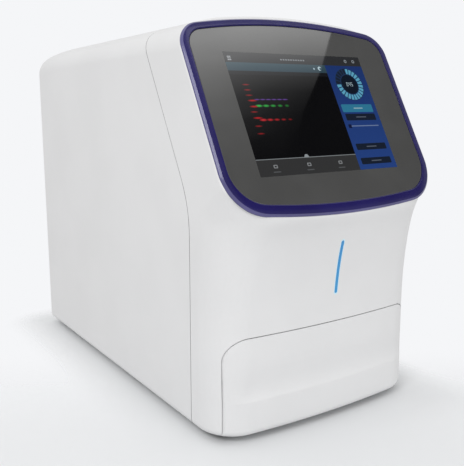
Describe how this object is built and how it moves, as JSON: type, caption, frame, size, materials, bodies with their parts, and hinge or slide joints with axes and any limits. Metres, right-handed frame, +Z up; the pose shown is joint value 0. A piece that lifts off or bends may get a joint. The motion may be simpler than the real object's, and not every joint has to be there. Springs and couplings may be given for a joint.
{
  "type": "western blot imaging system",
  "caption": "Benchtop blot imaging cabinet with a leaning touch display over a hollowed front, a sample drawer with a turning stage, a filter wheel, a zoom camera and a rear connector panel.",
  "frame": {"origin": "on the bench under the middle of the overall width and depth", "axes": "+X to the right as seen by the user, +Y towards the rear panel, +Z up"},
  "size_m": [0.38, 0.6981, 0.585],
  "materials": {
    "shell": "satin",
    "bezel": "gloss",
    "faceplate": "gloss",
    "light_guide": "satin",
    "rubber": "matt",
    "screws": "satin",
    "steel": "satin",
    "chassis": "matt",
    "anodised": "matt",
    "black_plastic": "satin",
    "acetal": "satin",
    "motors": "satin",
    "aluminium": "satin",
    "boards": "satin",
    "sockets": "satin",
    "optics": "gloss",
    "diffuser": "matt"
  },
  "bodies": {
    "housing": {"base_tray": "chassis", "bezel_ring": "bezel", "camera_body": "aluminium", "camera_bridge": "aluminium", "camera_deck": "chassis", "camera_fan_frame": "black_plastic", "camera_heat_sink": "aluminium", "computer_module": "aluminium", "control_board": "boards", "cover_gasket": "rubber", "cover_screws": "screws", "dark_chamber": "chassis", "data_sockets": "sockets", "display_board": "boards", "display_bracket": "aluminium", "display_panel": "black_plastic", "drawer_seal": "rubber", "epi_lights": "aluminium", "filter_motor": "motors", "filter_spindle": "steel", "front_cover": "shell", "inner_frame": "chassis", "io_panel": "aluminium", "lens_barrel": "aluminium", "lens_glass": "optics", "light_strip": "light_guide", "magnetic_catch": "black_plastic", "main_cover": "shell", "power_inlet": "black_plastic", "power_supply": "aluminium", "rear_fan_frame": "black_plastic", "rubber_feet": "rubber", "screen_glass": "faceplate", "slide_outer_left": "steel", "slide_outer_right": "steel", "strip_board": "boards", "switch_housing": "black_plastic", "zoom_motor": "motors"},
    "drawer": {"drawer_front": "shell", "drawer_tray": "anodised", "drawer_plates": "anodised", "slide_inner_left": "steel", "slide_inner_right": "steel", "stage_bearing": "steel", "stage_motor": "motors"},
    "slide_middle_left": {"slide_middle_left": "steel"},
    "slide_middle_right": {"slide_middle_right": "steel"},
    "stage": {"stage_gear": "acetal", "sample_stage": "black_plastic", "stage_lamp_board": "boards", "stage_diffuser": "diffuser"},
    "stage_pinion": {"stage_pinion": "steel"},
    "filter_wheel": {"filter_wheel": "acetal", "filter_glasses": "optics"},
    "filter_pinion": {"filter_pinion": "steel"},
    "zoom_ring": {"zoom_ring": "acetal"},
    "zoom_pinion": {"zoom_pinion": "steel"},
    "camera_fan_rotor": {"camera_fan_rotor": "black_plastic"},
    "rear_fan_rotor": {"rear_fan_rotor": "black_plastic"},
    "switch_rocker": {"switch_rocker": "black_plastic"}
  },
  "joints": [
    {"name": "drawer_slide", "type": "slide", "parent": "housing", "child": "drawer", "axis": [0, -1, 0], "range_m": [0, 0.32]},
    {"name": "slide_middle_left_travel", "type": "slide", "parent": "housing", "child": "slide_middle_left", "axis": [0, -1, 0], "range_m": [0, 0.16]},
    {"name": "slide_middle_right_travel", "type": "slide", "parent": "housing", "child": "slide_middle_right", "axis": [0, -1, 0], "range_m": [0, 0.16]},
    {"name": "stage_turn", "type": "hinge", "parent": "drawer", "child": "stage", "pos_m": [0, -0.095, 0.05], "axis": [0, 0, 1], "range_deg": [-15, 15]},
    {"name": "stage_pinion_turn", "type": "hinge", "parent": "drawer", "child": "stage_pinion", "pos_m": [0, -0.023, 0.05], "axis": [0, 0, 1], "range_deg": [-76, 76]},
    {"name": "filter_wheel_turn", "type": "hinge", "parent": "housing", "child": "filter_wheel", "pos_m": [0, -0.033, 0.413], "axis": [0, 0, 1], "continuous": true},
    {"name": "filter_pinion_turn", "type": "hinge", "parent": "housing", "child": "filter_pinion", "pos_m": [0, 0.075, 0.413], "axis": [0, 0, 1], "continuous": true},
    {"name": "zoom_ring_turn", "type": "hinge", "parent": "housing", "child": "zoom_ring", "pos_m": [0, -0.095, 0.452], "axis": [0, 0, 1], "range_deg": [0, 90]},
    {"name": "zoom_pinion_turn", "type": "hinge", "parent": "housing", "child": "zoom_pinion", "pos_m": [0, -0.0505, 0.452], "axis": [0, 0, 1], "range_deg": [-382, 1]},
    {"name": "camera_fan_spin", "type": "hinge", "parent": "housing", "child": "camera_fan_rotor", "pos_m": [0, -0.095, 0.554], "axis": [0, 0, 1], "continuous": true},
    {"name": "rear_fan_spin", "type": "hinge", "parent": "housing", "child": "rear_fan_rotor", "pos_m": [0.088, 0.3335, 0.405], "axis": [0, 1, 0], "continuous": true},
    {"name": "power_switch", "type": "hinge", "parent": "housing", "child": "switch_rocker", "pos_m": [-0.074, 0.342, 0.09], "axis": [1, 0, 0], "range_deg": [-16, 0]}
  ],
  "couplings": [
    {"joint": "slide_middle_left_travel", "follows": "drawer_slide", "ratio": 0.5},
    {"joint": "slide_middle_right_travel", "follows": "drawer_slide", "ratio": 0.5},
    {"joint": "stage_pinion_turn", "follows": "stage_turn", "ratio": -5},
    {"joint": "filter_pinion_turn", "follows": "filter_wheel_turn", "ratio": -5.75},
    {"joint": "zoom_pinion_turn", "follows": "zoom_ring_turn", "ratio": -4.2353}
  ]
}
